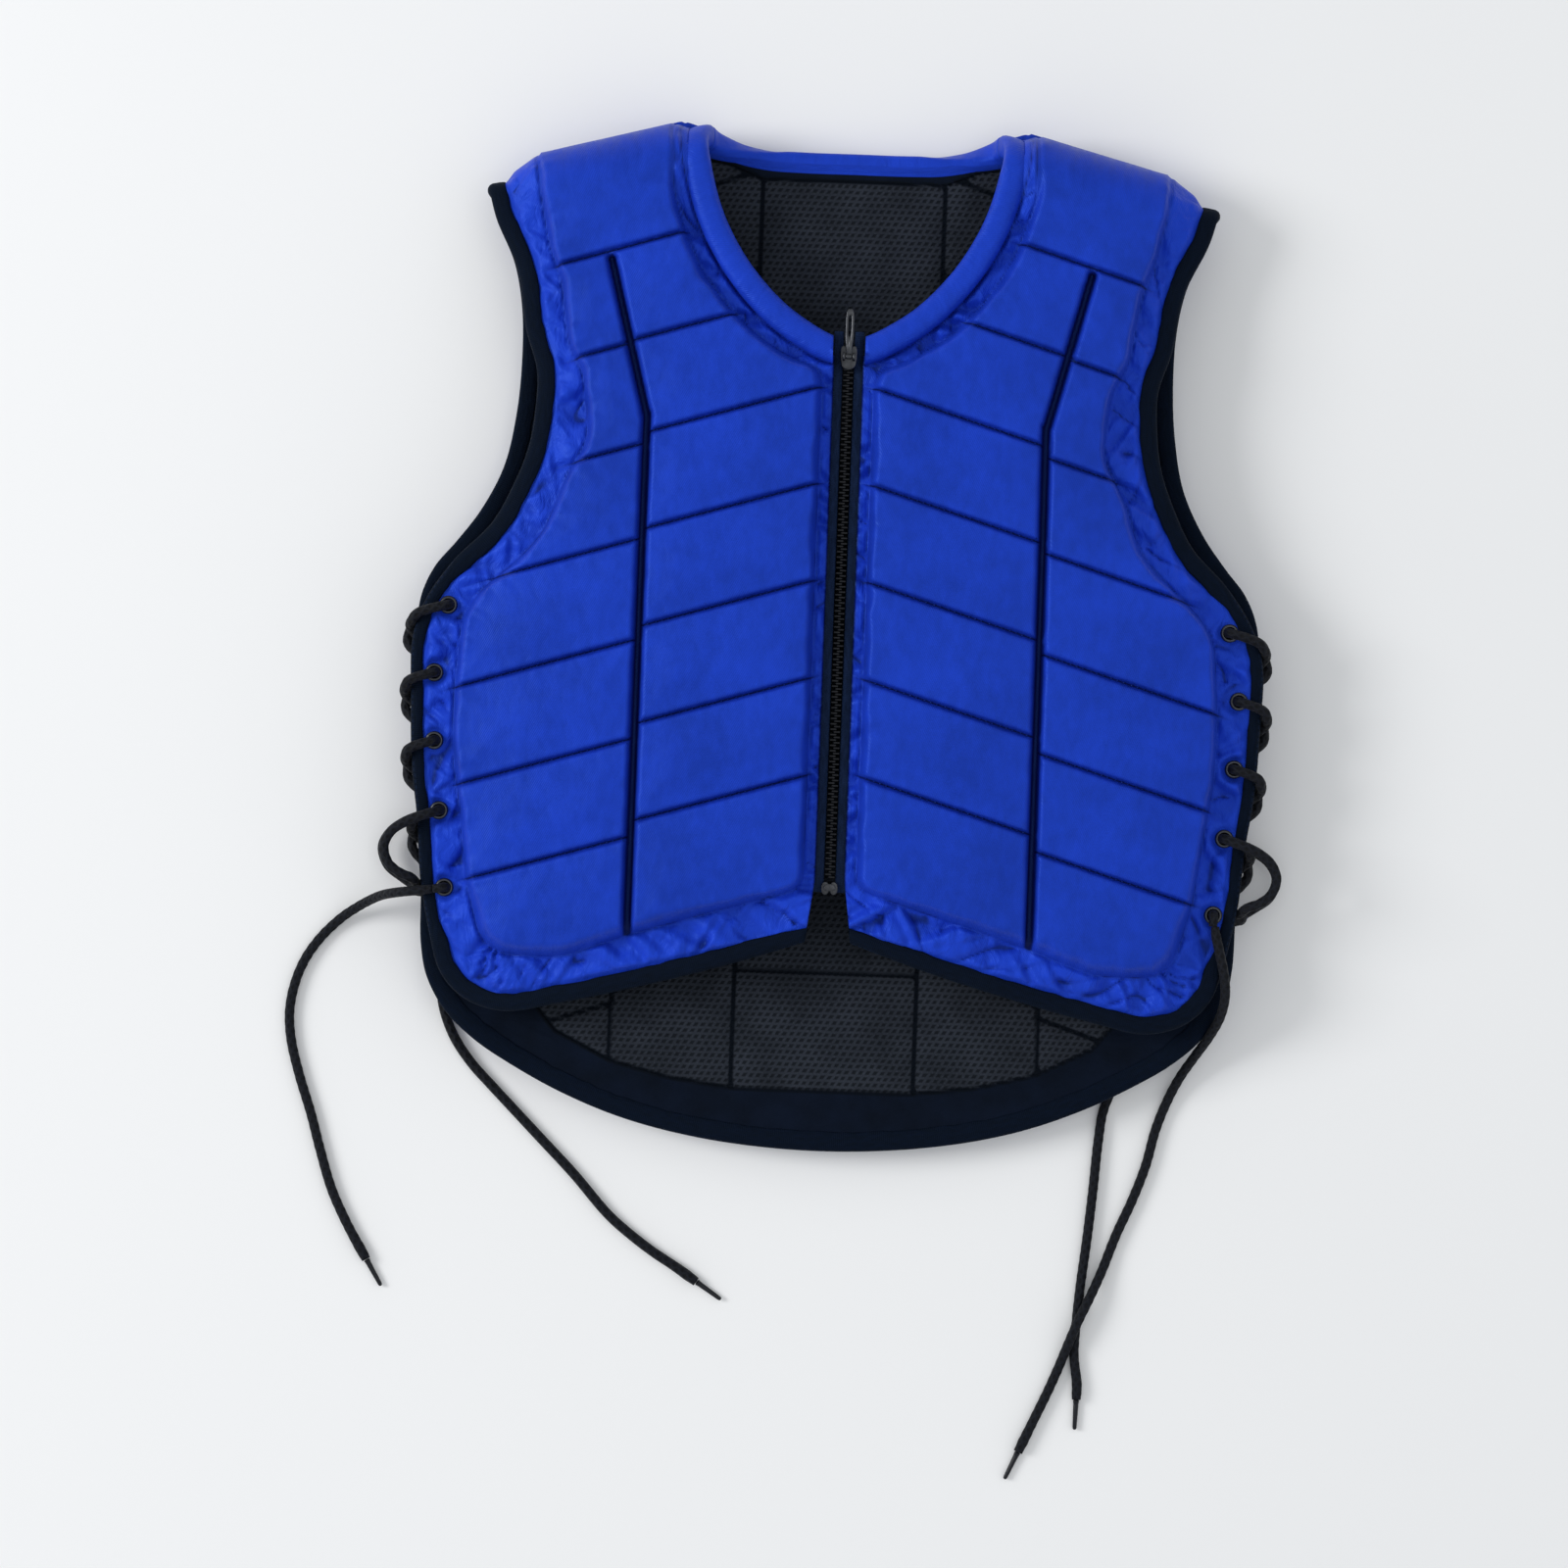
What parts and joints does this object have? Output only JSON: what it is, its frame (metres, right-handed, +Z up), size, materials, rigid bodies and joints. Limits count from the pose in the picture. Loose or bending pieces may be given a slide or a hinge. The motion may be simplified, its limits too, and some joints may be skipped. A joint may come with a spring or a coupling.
{
  "type": "equestrian body protector",
  "caption": "Sleeveless padded riding vest with a front zip, chevron foam blocks under blue satin, black edge binding and lace-up sides.",
  "frame": {"origin": "centre of the vest's base where its back rests on the floor, loose laces left out", "axes": "+Z up from the floor towards the vest's front, +Y from the hem to the neck, +X to the wearer's left"},
  "size_m": [0.5616, 0.7626, 0.0705],
  "materials": {
    "satin_cover": "satin",
    "edge_binding": "matte",
    "mesh_lining": "matte",
    "zip_tape": "matte",
    "zip_coil": "matte",
    "zip_metal": "satin",
    "eyelet_metal": "gloss",
    "lace": "matte",
    "lace_tip": "satin"
  },
  "bodies": {
    "vest": {"front_panel_left": "satin_cover", "front_panel_right": "satin_cover", "back_panel": "satin_cover", "neck_band_front_left": "satin_cover", "neck_band_front_right": "satin_cover", "neck_band_back": "satin_cover", "front_lining_left": "mesh_lining", "front_lining_right": "mesh_lining", "back_lining": "mesh_lining", "front_binding_left": "edge_binding", "front_binding_right": "edge_binding", "back_binding": "edge_binding", "zip_tape_left": "zip_tape", "zip_tape_right": "zip_tape", "zip_coil": "zip_coil", "zip_slider": "zip_metal", "zip_bottom_box": "zip_metal", "eyelet_front_left_1": "eyelet_metal", "eyelet_front_left_2": "eyelet_metal", "eyelet_front_left_3": "eyelet_metal", "eyelet_front_left_4": "eyelet_metal", "eyelet_front_left_5": "eyelet_metal", "eyelet_front_right_1": "eyelet_metal", "eyelet_front_right_2": "eyelet_metal", "eyelet_front_right_3": "eyelet_metal", "eyelet_front_right_4": "eyelet_metal", "eyelet_front_right_5": "eyelet_metal", "eyelet_back_left_1": "eyelet_metal", "eyelet_back_left_2": "eyelet_metal", "eyelet_back_left_3": "eyelet_metal", "eyelet_back_left_4": "eyelet_metal", "eyelet_back_left_5": "eyelet_metal", "eyelet_back_right_1": "eyelet_metal", "eyelet_back_right_2": "eyelet_metal", "eyelet_back_right_3": "eyelet_metal", "eyelet_back_right_4": "eyelet_metal", "eyelet_back_right_5": "eyelet_metal", "lacing_left": "lace", "lacing_right": "lace", "bow_loop_front_left": "lace", "bow_loop_front_right": "lace", "bow_loop_back_left": "lace", "bow_loop_back_right": "lace", "lace_end_left_a": "lace", "lace_end_left_b": "lace", "lace_end_right_a": "lace", "lace_end_right_b": "lace", "aglet_left_a": "lace_tip", "aglet_left_b": "lace_tip", "aglet_right_a": "lace_tip", "aglet_right_b": "lace_tip"},
    "pull": {"zip_pull": "zip_metal"}
  },
  "joints": [
    {"name": "zip_pull_hinge", "type": "hinge", "parent": "vest", "child": "pull", "pos_m": [0, 0.1569, 0.05338], "axis": [1, 0, 0], "range_deg": [0, 178]}
  ]
}
